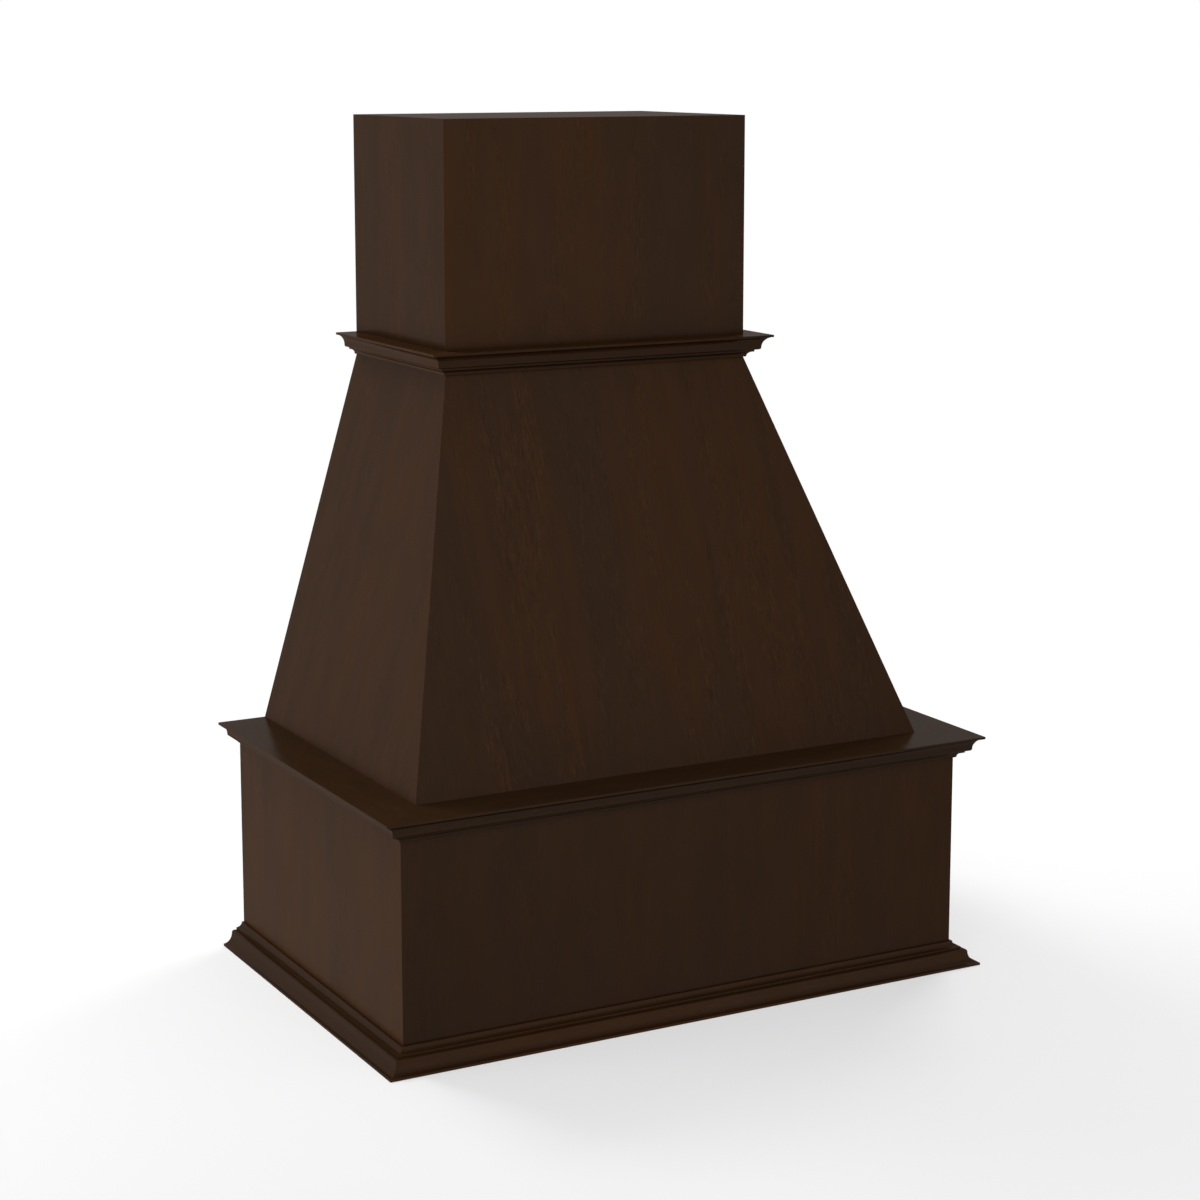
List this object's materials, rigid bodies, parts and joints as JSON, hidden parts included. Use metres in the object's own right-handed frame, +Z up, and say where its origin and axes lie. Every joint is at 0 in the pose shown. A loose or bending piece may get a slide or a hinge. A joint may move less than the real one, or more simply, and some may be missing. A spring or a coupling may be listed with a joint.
{
  "type": "wooden range hood cover",
  "caption": "Stained wooden chimney-style range hood cover: apron box, ledge, tapering body and straight chimney with mitred mouldings, open at the back and underneath.",
  "frame": {"origin": "middle of the whole cover's footprint, mouldings included, on its underside", "axes": "+Z up, +X to the right as seen from the front, -Y out of the front; the wall plane is at the back, at the greatest Y"},
  "size_m": [0.8192, 0.5296, 1.068],
  "materials": {
    "stained_panel": "espresso stain under a satin clear coat, vertical grain, bare on the inside",
    "stained_moulding": "espresso stain under a satin clear coat, grain along the run",
    "bare_framing": "bare sawn and planed wood, matt",
    "screw_steel": "zinc-plated steel"
  },
  "bodies": {
    "root": {"apron_front_panel": "stained_panel", "apron_left_panel": "stained_panel", "apron_right_panel": "stained_panel", "ledge_front_board": "stained_panel", "ledge_left_board": "stained_panel", "ledge_right_board": "stained_panel", "taper_front_panel": "stained_panel", "taper_left_panel": "stained_panel", "taper_right_panel": "stained_panel", "chimney_front_panel": "stained_panel", "chimney_left_panel": "stained_panel", "chimney_right_panel": "stained_panel", "chimney_top_panel": "stained_panel", "base_front_moulding": "stained_moulding", "base_left_moulding": "stained_moulding", "base_right_moulding": "stained_moulding", "ledge_front_moulding": "stained_moulding", "ledge_left_moulding": "stained_moulding", "ledge_right_moulding": "stained_moulding", "collar_front_moulding": "stained_moulding", "collar_left_moulding": "stained_moulding", "collar_right_moulding": "stained_moulding", "ledge_back_board": "bare_framing", "apron_left_corner_block": "bare_framing", "apron_right_corner_block": "bare_framing", "apron_hanging_rail": "bare_framing", "shelf_front_board": "bare_framing", "shelf_back_board": "bare_framing", "shelf_left_board": "bare_framing", "shelf_right_board": "bare_framing", "shelf_front_cleat": "bare_framing", "shelf_back_cleat": "bare_framing", "shelf_left_cleat": "bare_framing", "shelf_right_cleat": "bare_framing", "taper_left_corner_block": "bare_framing", "taper_right_corner_block": "bare_framing", "taper_foot_front_cleat": "bare_framing", "taper_foot_left_cleat": "bare_framing", "taper_foot_right_cleat": "bare_framing", "taper_top_front_rail": "bare_framing", "taper_top_back_rail": "bare_framing", "taper_top_left_rail": "bare_framing", "taper_top_right_rail": "bare_framing", "chimney_left_corner_block": "bare_framing", "chimney_right_corner_block": "bare_framing", "chimney_hanging_rail": "bare_framing", "chimney_foot_left_cleat": "bare_framing", "chimney_foot_right_cleat": "bare_framing", "shelf_screw_front_left": "screw_steel", "shelf_screw_front_right": "screw_steel", "shelf_screw_back_left": "screw_steel", "shelf_screw_back_right": "screw_steel", "shelf_screw_left_front": "screw_steel", "shelf_screw_left_back": "screw_steel", "shelf_screw_right_front": "screw_steel", "shelf_screw_right_back": "screw_steel", "chimney_screw_left_front": "screw_steel", "chimney_screw_left_back": "screw_steel", "chimney_screw_right_front": "screw_steel", "chimney_screw_right_back": "screw_steel"}
  },
  "joints": []
}
